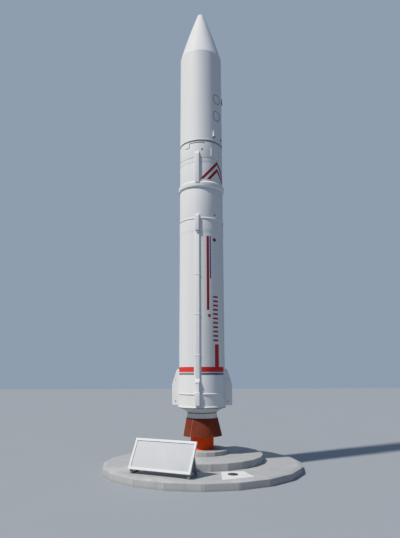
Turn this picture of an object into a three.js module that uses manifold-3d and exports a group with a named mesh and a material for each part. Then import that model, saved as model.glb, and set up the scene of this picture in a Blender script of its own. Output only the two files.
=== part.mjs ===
// An outdoor display model of a solid-fuel launch rocket, standing on its nozzle pipe
// on a stepped many-sided concrete plinth, with a blank notice board in front.
// Millimetres, +Z up. The origin is on the ground under the rocket's axis; the front is -Y.
// An azimuth is in degrees from the front, growing towards +X.
import * as THREE from 'three';
import { mergeVertices } from 'three/addons/utils/BufferGeometryUtils.js';
import Module from 'manifold-3d';

const wasm = await Module();
wasm.setup();

// Driving dimensions
const fit = 0.3;                    // gap between a fitting and the faceted surface it sits on
const bodySides = 48;
const bodyRadius = 417;
const plate = 4.5;                  // rolled steel plate of the barrels

// Heights of the joints up the rocket
const level = {
  nozzleExit: 561,
  nozzleTop: 868,
  throatTop: 962,
  skirtFoot: 1050,
  skirtRib: 1287,
  skirtTop: 1630,
  caseTop: 4198,
  collarTop: 4500,
  flangeFoot: 5082,
  flangeTop: 5221,
  interstageTop: 5698,
  fairingFoot: 6056,
  shoulder: 8023,
  tip: 9156,
};

const plinth = {
  lowerSides: 20, lowerRadius: 1738, lowerRim: 106, lowerChamfer: [1665, 126], lowerDeck: 143,
  middleSides: 24, middleRadius: 1072, middleRim: 260, middleDeck: 267,
  blockSides: 20, blockRadius: 472, blockTopRadius: 468, blockTop: 338,
};

const pipe = { radius: 203.2, wall: 9.5 };
const nozzle = { exitRadius: 345, exitShift: 11, topRadius: 281, wall: 8 };
const throat = { footRadius: 276, topRadius: 262, grooveRadius: 256, groove: 8, wall: 8 };
const closure = { rimRadius: 424, stepRadius: 374, stepHeight: 17, wall: 8 };
const nose = { tipRadius: 75, swell: 11, rows: 6 };
const fairingRadius = 418;

const raceway = { azimuth: -10.4, width: 79, proud: 22, foot: 1548, top: 4234 };
const ductFoot = {
  bottom: 1096, step: 1316, lip: 1471, lipTop: 1496, chamfer: 6,
  lowerWidth: 86, lowerProud: 53, upperWidth: 66, upperProud: 46, lipProud: 50,
};
const pod = { width: 100, foot: 1086, knee: 1448, top: 1721, outer: 545, topProud: 48, cap: 24 };

const sign = {
  width: 1088, height: 485, lean: 27.4, turn: -26.4, centre: [-667, -1346],
  bottom: 202, rim: 34, depth: 30, panel: 12,
  standInset: 42, standWidth: 40, standBar: 30, standReach: 330, standFoot: 270, standSunk: 16,
};

const paint = (color, roughness = 0.4, metalness = 0) =>
  new THREE.MeshStandardMaterial({ color, roughness, metalness });
const finishes = {
  white: () => paint(0xdfe1e3, 0.35),
  grey: () => paint(0x8f989c, 0.45),
  maroon: () => paint(0x7a3528, 0.5),
  orange: () => paint(0xc23f1a, 0.45),
  concrete: () => paint(0xb9bab5, 0.9),
  iron: () => paint(0x2c2d2f, 0.7),
  darkSteel: () => paint(0x4a4c50, 0.5),
  board: () => paint(0xf0f2f4, 0.3),
};

const radians = THREE.MathUtils.degToRad;
const rocket = new THREE.Group();

// Joined vertices, with no repeated or collapsed triangle, and the faces pointing outwards
function closedBody(geometry) {
  const bare = new THREE.BufferGeometry();
  bare.setAttribute('position', geometry.getAttribute('position').clone());
  if (geometry.index) bare.setIndex(geometry.index.clone());
  const joined = mergeVertices(bare, 1e-3);
  const index = joined.index.array;
  const at = (i) => new THREE.Vector3().fromBufferAttribute(joined.getAttribute('position'), i);
  const kept = [];
  let volume = 0;
  for (let i = 0; i < index.length; i += 3) {
    const [a, b, c] = [index[i], index[i + 1], index[i + 2]];
    if (a === b || b === c || a === c) continue;
    kept.push([a, b, c]);
    volume += at(a).dot(at(b).cross(at(c)));
  }
  joined.setIndex(kept.flatMap(([a, b, c]) => (volume < 0 ? [a, c, b] : [a, b, c])));
  joined.computeVertexNormals();
  return joined;
}

function addMesh(name, geometry, material, parent = rocket) {
  const mesh = new THREE.Mesh(closedBody(geometry), material);
  mesh.name = name;
  parent.add(mesh);
  return mesh;
}

// A body of revolution about +Z from [radius, height] points
function turned(points, sides = bodySides, firstVertex = 0) {
  const outline = points.map(([r, z]) => new THREE.Vector2(r, z));
  const geometry = new THREE.LatheGeometry(outline, sides, radians(firstVertex), 2 * Math.PI);
  return geometry.rotateX(Math.PI / 2);
}

// An open-ended turned plate: the outer outline, bottom to top, and the same moved in by the wall
function turnedShell(outline, wall) {
  const inner = outline.map(([r, z]) => [r - wall, z]).reverse();
  return turned([...outline, ...inner, outline[0]]);
}

function toManifold(geometry) {
  const body = closedBody(geometry);
  const vertProperties = new Float32Array(body.getAttribute('position').array);
  const triVerts = new Uint32Array(body.index.array);
  return new wasm.Manifold(new wasm.Mesh({ numProp: 3, vertProperties, triVerts }));
}

function fromManifold(solid) {
  const { vertProperties, triVerts } = solid.getMesh();
  const geometry = new THREE.BufferGeometry();
  geometry.setAttribute('position', new THREE.BufferAttribute(vertProperties, 3));
  geometry.setIndex(new THREE.BufferAttribute(triVerts, 1));
  return geometry;
}

// A [radius, height] outline, widthwise along the tangent, centred on an azimuth
function radialPlate(outline, width, azimuth) {
  const shape = new THREE.Shape(outline.map(([r, z]) => new THREE.Vector2(r, z)));
  const geometry = new THREE.ExtrudeGeometry(shape, { depth: width, bevelEnabled: false });
  const out = new THREE.Vector3(Math.sin(radians(azimuth)), -Math.cos(radians(azimuth)), 0);
  const up = new THREE.Vector3(0, 0, 1);
  const across = new THREE.Vector3().crossVectors(out, up);
  geometry.translate(0, 0, -width / 2);
  return geometry.applyMatrix4(new THREE.Matrix4().makeBasis(out, up, across));
}

// The rocket's outer outline, barrel by barrel from the aft skirt up
const rib = { proud: 10, half: 9, slope: 5 };
const skirtRim = { proud: 10, height: 18, slopeTop: 30 };
const lip = { proud: 3, lead: 4, height: 28, slopeTop: 34 };
const collar = { proud: 4, lead: 7, ridgeProud: 13, ridgeLow: 34, ridgeFull: 30, ridgeTop: 14 };
const flange = { proud: 27, lead: 14, rimFoot: 31, rimTop: 105 };
const barrels = [
  { name: 'aft_skirt', outline: [
    [bodyRadius + skirtRim.proud, level.skirtFoot],
    [bodyRadius + skirtRim.proud, level.skirtFoot + skirtRim.height],
    [bodyRadius, level.skirtFoot + skirtRim.slopeTop],
    [bodyRadius, level.skirtRib - rib.half - rib.slope],
    [bodyRadius + rib.proud, level.skirtRib - rib.half],
    [bodyRadius + rib.proud, level.skirtRib + rib.half],
    [bodyRadius, level.skirtRib + rib.half + rib.slope],
    [bodyRadius, level.skirtTop],
  ] },
  { name: 'motor_case', outline: [
    [bodyRadius, level.skirtTop],
    [bodyRadius, level.caseTop],
  ] },
  { name: 'forward_collar', outline: [
    [bodyRadius, level.caseTop],
    [bodyRadius + collar.proud, level.caseTop + collar.lead],
    [bodyRadius + collar.proud, level.collarTop - collar.ridgeLow],
    [bodyRadius + collar.ridgeProud, level.collarTop - collar.ridgeFull],
    [bodyRadius + collar.ridgeProud, level.collarTop - collar.ridgeTop],
    [bodyRadius, level.collarTop],
  ] },
  { name: 'second_stage_barrel', outline: [
    [bodyRadius, level.collarTop],
    [bodyRadius, level.flangeFoot],
  ] },
  { name: 'ring_flange', outline: [
    [bodyRadius, level.flangeFoot],
    [bodyRadius, level.flangeFoot + flange.lead],
    [bodyRadius + flange.proud, level.flangeFoot + flange.rimFoot],
    [bodyRadius + flange.proud, level.flangeFoot + flange.rimTop],
    [bodyRadius, level.flangeTop],
  ] },
  { name: 'interstage_barrel', outline: [
    [bodyRadius, level.flangeTop],
    [bodyRadius, level.interstageTop],
  ] },
  { name: 'equipment_barrel', outline: [
    [bodyRadius, level.interstageTop],
    [bodyRadius, level.fairingFoot],
  ] },
  { name: 'fairing_barrel', outline: [
    [bodyRadius, level.fairingFoot],
    [fairingRadius + lip.proud, level.fairingFoot + lip.lead],
    [fairingRadius + lip.proud, level.fairingFoot + lip.height],
    [fairingRadius, level.fairingFoot + lip.slopeTop],
    [fairingRadius, level.shoulder],
  ] },
];
for (const { name, outline } of barrels) {
  addMesh(name, turnedShell(outline, plate), finishes.white());
}

// The nose: a slightly swollen cone that runs into a round tip, hollow above the fairing
function noseOutline(radius, tipRadius, tipHeight) {
  const centre = tipHeight - tipRadius;
  const rise = centre - level.shoulder;
  const slant = Math.hypot(radius, rise);
  const tangent = Math.sqrt(slant ** 2 - tipRadius ** 2);
  const angle = Math.atan2(rise, -radius) - Math.asin(tipRadius / slant);
  const touch = [radius + tangent * Math.cos(angle), level.shoulder + tangent * Math.sin(angle)];
  const start = Math.atan2(touch[1] - centre, touch[0]);
  const cone = [];
  for (let i = 0; i <= nose.rows; i += 1) {
    const t = i / nose.rows;
    const swell = nose.swell * 4 * t * (1 - t);
    const r = radius + (touch[0] - radius) * t + swell * Math.cos(start);
    const z = level.shoulder + (touch[1] - level.shoulder) * t + swell * Math.sin(start);
    cone.push([r, z]);
  }
  const steps = 5;
  const arc = [];
  for (let i = 1; i <= steps; i += 1) {
    const a = start + (Math.PI / 2 - start) * i / steps;
    arc.push([i === steps ? 0 : tipRadius * Math.cos(a), centre + tipRadius * Math.sin(a)]);
  }
  return [...cone, ...arc];
}
const noseOuter = noseOutline(fairingRadius, nose.tipRadius, level.tip);
const noseInner = noseOutline(fairingRadius - plate, nose.tipRadius - plate, level.tip - plate * 3);
addMesh('nose_cone', turned([...noseOuter, ...noseInner.reverse(), noseOuter[0]]), finishes.white());

// Aft end: the grey dish that closes the skirt, the throat ring, the nozzle and the pipe in it
const dishTop = level.skirtFoot;
const dishStep = dishTop - closure.stepHeight;
addMesh('aft_closure', turned([
  [0, level.throatTop],
  [throat.topRadius, level.throatTop],
  [closure.stepRadius, dishStep],
  [closure.rimRadius, dishTop],
  [closure.rimRadius - 10, dishTop],
  [closure.stepRadius - 4, dishStep + closure.wall],
  [throat.topRadius - 4, level.throatTop + closure.wall],
  [0, level.throatTop + closure.wall],
]), finishes.grey());

const throatFoot = [throat.footRadius - throat.wall, level.nozzleTop];
addMesh('throat_ring', turned([
  [throat.footRadius, level.nozzleTop],
  [throat.topRadius, level.throatTop - 2 * throat.groove],
  [throat.grooveRadius, level.throatTop - throat.groove],
  [throat.grooveRadius, level.throatTop],
  [throat.grooveRadius - throat.wall, level.throatTop],
  throatFoot,
  [throat.footRadius, level.nozzleTop],
]), finishes.grey());

// The nozzle's exit stands a little to the right of the axis, so its cone is slightly oblique
const bell = turned([
  [nozzle.exitRadius, level.nozzleExit],
  [nozzle.topRadius, level.nozzleTop],
  [nozzle.topRadius - 2 * nozzle.wall, level.nozzleTop],
  [nozzle.topRadius - 2 * nozzle.wall, level.nozzleTop - nozzle.wall],
  [nozzle.exitRadius - nozzle.wall, level.nozzleExit],
  [nozzle.exitRadius, level.nozzleExit],
]);
const bellHeight = level.nozzleTop - level.nozzleExit;
bell.applyMatrix4(new THREE.Matrix4().makeShear(0, 0, 0, 0, -nozzle.exitShift / bellHeight, 0));
bell.translate(nozzle.exitShift * level.nozzleTop / bellHeight, 0, 0);
addMesh('nozzle_bell', bell, finishes.maroon());

addMesh('support_pipe', turnedShell([
  [pipe.radius, plinth.blockTop],
  [pipe.radius, level.throatTop],
], pipe.wall), finishes.orange());

// Everything that sits on the skin is cut to it, a fit's width clear of its facets
const skin = barrels.flatMap(({ outline }) => outline);
const grown = skin
  .filter(([, z], i) => i === 0 || z !== skin[i - 1][1])
  .map(([r, z]) => [r + fit + 0.1, z]);
const skinSolid = toManifold(turned([
  [0, grown[0][1]], ...grown, [0, grown[grown.length - 1][1]],
]));

function addOnSkin(name, outline, width, azimuth, material) {
  const solid = toManifold(radialPlate(outline, width, azimuth)).subtract(skinSolid);
  addMesh(name, fromManifold(solid), material);
}

const root = bodyRadius - 20;       // every fitting starts inside the skin and is cut back to it
const podFace = bodyRadius + pod.topProud;
const podOutline = [
  [root, pod.foot], [pod.outer, pod.foot], [pod.outer, pod.knee],
  [podFace, pod.top - pod.cap], [podFace - pod.cap, pod.top], [root, pod.top],
];
for (const [side, turn] of [['right', 90], ['left', -90]]) {
  addOnSkin(`aft_pod_${side}`, podOutline, pod.width, raceway.azimuth + turn, finishes.white());
}

// Cable ducts: the long one, its joint box over the collar and the one over the interstage
const ducts = [
  { name: 'raceway_long', width: raceway.width, from: raceway.foot, to: raceway.top, proud: raceway.proud,
    slope: 0 },
  { name: 'raceway_box', width: 73, from: raceway.top, to: 4551, proud: 46, slope: 30 },
  { name: 'raceway_interstage', width: 82, from: 5180, to: 5825, proud: 37, slope: 56 },
];
// Foot of the long duct: a flared lip over a narrow upper box and a wider lower one
const lipFace = bodyRadius + ductFoot.lipProud;
const upperFace = bodyRadius + ductFoot.upperProud;
const lowerFace = bodyRadius + ductFoot.lowerProud;
const ductFace = bodyRadius + raceway.proud;
const footSteps = [
  { width: raceway.width, outline: [[root, ductFoot.lip], [lipFace, ductFoot.lip],
    [lipFace, ductFoot.lipTop], [ductFace, raceway.foot], [root, raceway.foot]] },
  { width: ductFoot.upperWidth, outline: [[root, ductFoot.step], [upperFace, ductFoot.step],
    [upperFace, ductFoot.lipTop], [root, ductFoot.lipTop]] },
  { width: ductFoot.lowerWidth, outline: [[root, ductFoot.bottom], [lowerFace, ductFoot.bottom],
    [lowerFace, ductFoot.step], [upperFace, ductFoot.step + ductFoot.chamfer],
    [root, ductFoot.step + ductFoot.chamfer]] },
];
for (const [side, turn] of [['front', 0], ['back', 180]]) {
  const azimuth = raceway.azimuth + turn;
  for (const { name, width, from, to, proud, slope } of ducts) {
    const face = bodyRadius + proud;
    const outline = [[root, from], [face, from], [face, to - slope], [face - slope * 0.6, to], [root, to]];
    addOnSkin(`${name}_${side}`, outline, width, azimuth, finishes.white());
  }
  const foot = footSteps
    .map(({ width, outline }) => toManifold(radialPlate(outline, width, azimuth)))
    .reduce((joined, step) => joined.add(step));
  addMesh(`raceway_foot_${side}`, fromManifold(foot.subtract(skinSolid)), finishes.white());
}

// Small fittings on the skin: how far each stands proud at its foot and at its top
const fittings = [
  { name: 'fairing_bracket', azimuth: 36, from: 6151, to: 6298, width: 45, proud: 32, topProud: 7 },
  { name: 'fairing_plug', azimuth: 68, from: 6155, to: 6185, width: 30, proud: 14, topProud: 14 },
  { name: 'fairing_lug', azimuth: 88, from: 7024, to: 7149, width: 40, proud: 19, topProud: 12 },
  { name: 'equipment_strip', azimuth: 28, from: 5740, to: 5910, width: 20, proud: 15, topProud: 9 },
];
for (const { name, azimuth, from, to, width, proud, topProud } of fittings) {
  const foot = bodyRadius + proud;
  const top = bodyRadius + topProud;
  const outline = [[root, from], [foot, from], [top, to], [root, to]];
  addOnSkin(name, outline, width, azimuth, finishes.white());
}

// Plinth: a wide disc with a chamfered rim, a smaller one on it and the block on top
const deck = {
  lower: [[plinth.lowerRadius, 0], [plinth.lowerRadius, plinth.lowerRim], plinth.lowerChamfer,
    [plinth.middleRadius, plinth.lowerDeck]],
  middle: [[plinth.middleRadius, plinth.lowerDeck], [plinth.middleRadius, plinth.middleRim],
    [plinth.blockRadius, plinth.middleDeck]],
  block: [[plinth.blockRadius, plinth.middleDeck], [plinth.blockTopRadius, plinth.blockTop]],
};
function addTier(name, outline, sides, firstVertex) {
  const foot = outline[0][1];
  const top = outline[outline.length - 1][1];
  const body = turned([[0, foot], ...outline, [0, top]], sides, firstVertex);
  addMesh(name, body, finishes.concrete());
}
addTier('plinth_lower', deck.lower, plinth.lowerSides, 0);
addTier('plinth_middle', deck.middle, plinth.middleSides, 180 / plinth.middleSides);
addTier('plinth_block', deck.block, plinth.blockSides, 180 / plinth.blockSides);

// Inspection cover on the lower deck, lying on the facet between two of its rays
const cover = { facet: 27, out: 1303, along: -142, radius: 79, thickness: 8 };
const flat = Math.cos(Math.PI / plinth.lowerSides);
const deckFall = Math.atan2(
  plinth.lowerDeck - plinth.lowerChamfer[1],
  (plinth.lowerChamfer[0] - plinth.middleRadius) * flat,
);
const facetGroup = new THREE.Group();
facetGroup.rotation.z = radians(cover.facet);
const facetPlane = new THREE.Group();
facetPlane.position.set(0, -plinth.lowerChamfer[0] * flat, plinth.lowerChamfer[1]);
facetPlane.rotation.x = deckFall;
facetGroup.add(facetPlane);
rocket.add(facetGroup);
const lid = new THREE.CylinderGeometry(cover.radius, cover.radius, cover.thickness, 24);
lid.rotateX(Math.PI / 2);
const lidMesh = addMesh('inspection_cover', lid, finishes.iron(), facetPlane);
const lidIn = (plinth.lowerChamfer[0] * flat - cover.out) / Math.cos(deckFall);
lidMesh.position.set(cover.along, lidIn, fit + cover.thickness / 2);

// Blank notice board: panel in a raised rim, on two welded stands
const board = new THREE.Group();
board.position.set(sign.centre[0], sign.centre[1], 0);
board.rotation.z = radians(sign.turn);
rocket.add(board);
const leaning = new THREE.Group();
leaning.position.z = sign.bottom;
leaning.rotation.x = -radians(sign.lean);
board.add(leaning);

function rectangle(width, height, left = -width / 2, foot = 0) {
  return [[left, foot], [left + width, foot], [left + width, foot + height], [left, foot + height]]
    .map(([x, y]) => new THREE.Vector2(x, y));
}
const rimShape = new THREE.Shape(rectangle(sign.width, sign.height));
const innerWidth = sign.width - 2 * sign.rim;
const innerHeight = sign.height - 2 * sign.rim;
rimShape.holes.push(new THREE.Path(rectangle(innerWidth, innerHeight, -innerWidth / 2, sign.rim)));
const rim = new THREE.ExtrudeGeometry(rimShape, { depth: sign.depth, bevelEnabled: false });
rim.rotateX(Math.PI / 2).translate(0, sign.depth, 0);
addMesh('sign_rim', rim, finishes.board(), leaning);

const panelShape = new THREE.Shape(
  rectangle(innerWidth - 2 * fit, innerHeight - 2 * fit, -innerWidth / 2 + fit, sign.rim + fit),
);
const panel = new THREE.ExtrudeGeometry(panelShape, { depth: sign.panel, bevelEnabled: false });
panel.rotateX(Math.PI / 2).translate(0, sign.depth - 4, 0);
addMesh('sign_panel', panel, finishes.board(), leaning);

// A stand seen from the side: a short front post, a bar up the back of the rim and a raking leg
const lean = radians(sign.lean);
const deckAtSign = 131;            // the stands run below this and are cut to the falling deck
const backFoot = [
  (sign.depth + fit) * Math.cos(lean),
  sign.bottom - (sign.depth + fit) * Math.sin(lean),
];
const backTop = [
  backFoot[0] + sign.standReach * Math.sin(lean),
  backFoot[1] + sign.standReach * Math.cos(lean),
];
const standOutline = [
  [backFoot[0], deckAtSign], [backFoot[0] + sign.standFoot, deckAtSign], backTop, backFoot,
];
// The same outline, convex and counter-clockwise, with every side moved in by a distance
function inset(points, distance) {
  const sides = points.map(([x, y], i) => {
    const [nextX, nextY] = points[(i + 1) % points.length];
    const length = Math.hypot(nextX - x, nextY - y);
    const [nx, ny] = [-(nextY - y) / length, (nextX - x) / length];
    return { nx, ny, reach: nx * x + ny * y + distance };
  });
  return sides.map((side, i) => {
    const before = sides[(i + sides.length - 1) % sides.length];
    const det = before.nx * side.ny - before.ny * side.nx;
    return [
      (before.reach * side.ny - before.ny * side.reach) / det,
      (before.nx * side.reach - before.reach * side.nx) / det,
    ];
  });
}
const toVectors = (points) => points.map(([x, y]) => new THREE.Vector2(x, y));
const standSunk = standOutline.map(([y, z]) => [y, z === deckAtSign ? z - sign.standSunk : z]);
const deckGrown = deck.lower.map(([r, z]) => [r + fit + 0.1, z + fit]);
const deckSolid = toManifold(turned([
  [0, 0], [deckGrown[0][0], 0], ...deckGrown, [0, plinth.lowerDeck + fit],
], plinth.lowerSides));
board.updateMatrixWorld();
for (const [side, half] of [['left', -1], ['right', 1]]) {
  const shape = new THREE.Shape(toVectors(standSunk));
  shape.holes.push(new THREE.Path(toVectors(inset(standOutline, sign.standBar))));
  const stand = new THREE.ExtrudeGeometry(shape, { depth: sign.standWidth, bevelEnabled: false });
  const place = new THREE.Matrix4().makeBasis(
    new THREE.Vector3(0, 1, 0), new THREE.Vector3(0, 0, 1), new THREE.Vector3(1, 0, 0),
  );
  place.setPosition(half * (sign.width / 2 - sign.standInset) - sign.standWidth / 2, 0, 0);
  stand.applyMatrix4(place).applyMatrix4(board.matrixWorld);
  addMesh(`sign_stand_${side}`, fromManifold(toManifold(stand).subtract(deckSolid)), finishes.darkSteel());
}

export default rocket;
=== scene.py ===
import math

import bmesh
import bpy
from mathutils import Matrix, Vector, noise


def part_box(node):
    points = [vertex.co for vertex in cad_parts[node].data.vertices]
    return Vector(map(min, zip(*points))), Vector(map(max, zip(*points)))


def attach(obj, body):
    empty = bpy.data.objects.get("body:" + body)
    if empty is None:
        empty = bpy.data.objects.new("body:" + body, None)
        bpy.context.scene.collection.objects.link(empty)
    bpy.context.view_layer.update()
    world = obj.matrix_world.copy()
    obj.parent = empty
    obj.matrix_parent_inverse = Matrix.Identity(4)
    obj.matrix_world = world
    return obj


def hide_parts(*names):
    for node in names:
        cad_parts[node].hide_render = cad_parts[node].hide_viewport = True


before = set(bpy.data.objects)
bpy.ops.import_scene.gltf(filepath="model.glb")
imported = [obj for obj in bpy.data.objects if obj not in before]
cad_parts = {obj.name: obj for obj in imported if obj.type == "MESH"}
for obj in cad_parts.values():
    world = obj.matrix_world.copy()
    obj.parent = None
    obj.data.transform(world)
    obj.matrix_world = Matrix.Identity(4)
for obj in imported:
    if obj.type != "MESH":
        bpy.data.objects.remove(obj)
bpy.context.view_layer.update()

# Outdoor rocket display model: a white solid-fuel launcher on a pipe in its nozzle, on a stepped
# concrete plinth with a blank notice board. Metres. The rocket's axis is Z and the front is -Y.
# An azimuth is in degrees from the front, growing towards +X.

scene = bpy.context.scene
scene.view_settings.view_transform = "Standard"
tiny = 1e-6


# Lowest and highest height of a CAD node
def span(node):
    low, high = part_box(node)
    return low.z, high.z


def polar(radius, azimuth, height, across=0.0):
    a = math.radians(azimuth)
    out = Vector((math.sin(a), -math.cos(a), 0))
    along = Vector((math.cos(a), math.sin(a), 0))
    return out * radius + along * across + Vector((0, 0, height))


# Many things stand twice, half a turn apart
def bothSides(azimuth):
    return azimuth, azimuth + 180


def newObject(name, data):
    made = bpy.data.objects.new(name, data)
    scene.collection.objects.link(made)
    return made


# Camera: a standing photographer in front, looking up a little
cameraSettings = {
    "place": (0.0, -9.1676, 1.6456), "pitch": 11.983, "turn": 0.184, "roll": -0.177,
    "lens": 32.81, "clipEnd": 200,
}
cameraData = bpy.data.cameras.new("camera")
cameraData.lens = cameraSettings["lens"]
cameraData.clip_end = cameraSettings["clipEnd"]
camera = newObject("camera", cameraData)
camera.matrix_world = (
    Matrix.Translation(cameraSettings["place"])
    @ Matrix.Rotation(math.radians(cameraSettings["turn"]), 4, "Z")
    @ Matrix.Rotation(math.radians(90 + cameraSettings["pitch"]), 4, "X")
    @ Matrix.Rotation(math.radians(cameraSettings["roll"]), 4, "Z")
)
scene.camera = camera
print("camera placed")


# A socket that can be used in sums, products and comparisons
class Field:
    def __init__(self, graph, socket):
        self.graph = graph
        self.socket = socket

    def math(self, operation, *others, clamp=False):
        settings = {"operation": operation, "use_clamp": clamp}
        return self.graph.node("ShaderNodeMath", settings, dict(enumerate((self, *others))))

    def reflected(self, operation, other):
        return self.graph.node("ShaderNodeMath", {"operation": operation}, {0: other, 1: self})

    def __add__(self, other):
        return self.math("ADD", other)

    __radd__ = __add__

    def __sub__(self, other):
        return self.math("SUBTRACT", other)

    def __rsub__(self, other):
        return self.reflected("SUBTRACT", other)

    def __mul__(self, other):
        return self.math("MULTIPLY", other)

    __rmul__ = __mul__

    def __truediv__(self, other):
        return self.math("DIVIDE", other)

    def __rtruediv__(self, other):
        return self.reflected("DIVIDE", other)

    def __neg__(self):
        return self.math("MULTIPLY", -1.0)

    def __abs__(self):
        return self.math("ABSOLUTE")

    def clamped(self):
        return self.math("ADD", 0.0, clamp=True)

    # 0 below the edge, 1 above it, with a soft step
    def above(self, edge, soft):
        limits = {1: edge - soft, 2: edge + soft, 3: 0.0, 4: 1.0}
        settings = {"interpolation_type": "SMOOTHSTEP", "clamp": True}
        return self.graph.node("ShaderNodeMapRange", settings, {0: self, **limits})

    def between(self, low, high, soft):
        return self.above(low, soft) * (1 - self.above(high, soft))


# Builds a node tree: settings first, then values and links by socket name, identifier or index
class Graph:
    def __init__(self, tree):
        self.tree = tree

    def node(self, kind, settings=None, inputs=None, output=0):
        made = self.tree.nodes.new(kind)
        for name, value in (settings or {}).items():
            setattr(made, name, value)
        for key, value in (inputs or {}).items():
            self.feed(self.find(made.inputs, key), value)
        return Field(self, self.find(made.outputs, output))

    def find(self, sockets, key):
        if isinstance(key, int):
            return sockets[key]
        for socket in sockets:
            if socket.identifier == key:
                return socket
        return sockets[key]

    def feed(self, socket, value):
        if isinstance(value, Field):
            self.tree.links.new(value.socket, socket)
        else:
            socket.default_value = value

    def mix(self, factor, first, second):
        values = {"Factor_Float": factor}
        for key, value in (("A_Color", first), ("B_Color", second)):
            values[key] = value if isinstance(value, Field) else (*value, 1.0)
        return self.node("ShaderNodeMix", {"data_type": "RGBA"}, values, "Result_Color")

    # Paints over a colour, from the first mask and paint to the last
    def layered(self, colour, layers):
        for mask, paint in layers:
            colour = self.mix(mask, colour, paint)
        return colour

    def noise(self, vector, scale, detail=3.0, roughness=0.55):
        values = {"Vector": vector, "Scale": scale, "Detail": detail, "Roughness": roughness}
        return self.node("ShaderNodeTexNoise", {}, values, "Fac")

    def stretched(self, vector, scale):
        return self.node("ShaderNodeMapping", {}, {"Vector": vector, "Scale": scale})

    def part(self, vector, axis):
        return self.node("ShaderNodeSeparateXYZ", {}, {"Vector": vector}, axis)

    def bump(self, height, distance, strength, normal=None):
        values = {"Height": height, "Distance": distance, "Strength": strength}
        if normal:
            values["Normal"] = normal
        return self.node("ShaderNodeBump", {}, values)


# A material whose shader has these constants, with Object coordinates as its place
def newMaterial(name, constants):
    material = bpy.data.materials.new(name)
    material.use_nodes = True
    shader = material.node_tree.nodes["Principled BSDF"]
    for key, value in constants.items():
        shader.inputs[key].default_value = value
    graph = Graph(material.node_tree)
    place = graph.node("ShaderNodeTexCoord", {}, {}, "Object")
    return material, graph, shader, place


def feedShader(graph, shader, colour, roughness, normal):
    graph.feed(shader.inputs["Base Color"], colour)
    graph.feed(shader.inputs["Roughness"], roughness)
    graph.feed(shader.inputs["Normal"], normal)


bodyRadius = 0.417
ductAzimuth = -10.4
podAzimuth = ductAzimuth + 90

paintSettings = {
    "shine": {"Specular IOR Level": 0.3, "Coat Weight": 0.05, "Coat Roughness": 0.25},
    "white": (0.79, 0.81, 0.83), "warmWhite": (0.76, 0.77, 0.765), "grime": (0.42, 0.43, 0.42),
    "warmShare": 0.4, "streakShare": 0.07, "speckShare": 0.25, "roughness": 0.5,
    # the band and the line turn lighter towards the sun's side: partly sun fading, partly painted sunlight
    "sunnySide": -62.0, "fadeAndSunlightReach": 58.0, "fadeAndSunlightSoft": 23.2,
    "bandRed": (0.6, 0.013, 0.022), "fadedSunlitRed": (0.74, 0.055, 0.03),
    "riserRed": (0.5, 0.012, 0.024), "darkRed": (0.33, 0.008, 0.018),
    "stripeBlue": (0.075, 0.055, 0.27), "lineBlue": (0.11, 0.145, 0.21), "fadedSunlitBlue": (0.27, 0.27, 0.29),
}
# Painted marks: heights in metres, "from" and "to" as azimuths
stripes = {
    "band": {"low": 1.663, "high": 1.752, "ductGap": 9.25, "podGap": 10.7},
    "line": {"low": 1.611, "high": 1.652},
    "riser": {"low": 1.748, "high": 2.147, "from": 33.8, "to": 46.6},
    "redStripe": {"low": 2.755, "high": 4.133, "from": 13.0, "to": 19.6},
    "blueStripe": {"low": 3.335, "high": 4.133, "from": 21.2, "to": 24.6},
    "disc": {"height": 4.071, "azimuth": 35.4, "radius": 0.036},
    "chevron": {"apex": 5.66, "azimuth": 46.8, "slope": 1.12, "foot": 5.256,
                "strokes": ((0.0, 0.075), (0.145, 0.22))},
    "bars": {"low": 2.2, "high": 3.06, "count": 11, "from": 29.5, "to": 45.0, "fill": 0.42},
}
edgeSoft = 0.0008       # metres of blur at a painted edge


# White gloss paint, with or without the stripes, with faint rain streaks and a few specks of grime
def makeWhitePaint(name, marked):
    s = paintSettings
    material, graph, shader, place = newMaterial(name, s["shine"])
    clouds = graph.noise(place, 1.6, 4.0)
    colour = graph.mix(clouds.between(0.42, 0.75, 0.12) * s["warmShare"], s["white"], s["warmWhite"])
    streaks = graph.noise(graph.stretched(place, (26.0, 26.0, 0.7)), 1.0, 4.0, 0.6).above(0.62, 0.16)
    colour = graph.mix(streaks * s["streakShare"], colour, s["grime"])
    specks = graph.noise(place, 90.0, 2.0, 0.5).above(0.74, 0.03)
    colour = graph.mix(specks * s["speckShare"], colour, s["grime"])
    if marked:
        colour = addStripes(graph, colour, place)
    fineGrain = graph.noise(place, 260.0, 2.0)
    slowWaves = graph.noise(graph.stretched(place, (1.0, 1.0, 0.55)), 3.2, 2.0)
    normal = graph.bump(fineGrain, 0.0002, 0.35, graph.bump(slowWaves, 0.0035, 0.5))
    feedShader(graph, shader, colour, s["roughness"] + clouds * 0.1 + streaks * 0.14, normal)
    return material


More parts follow.
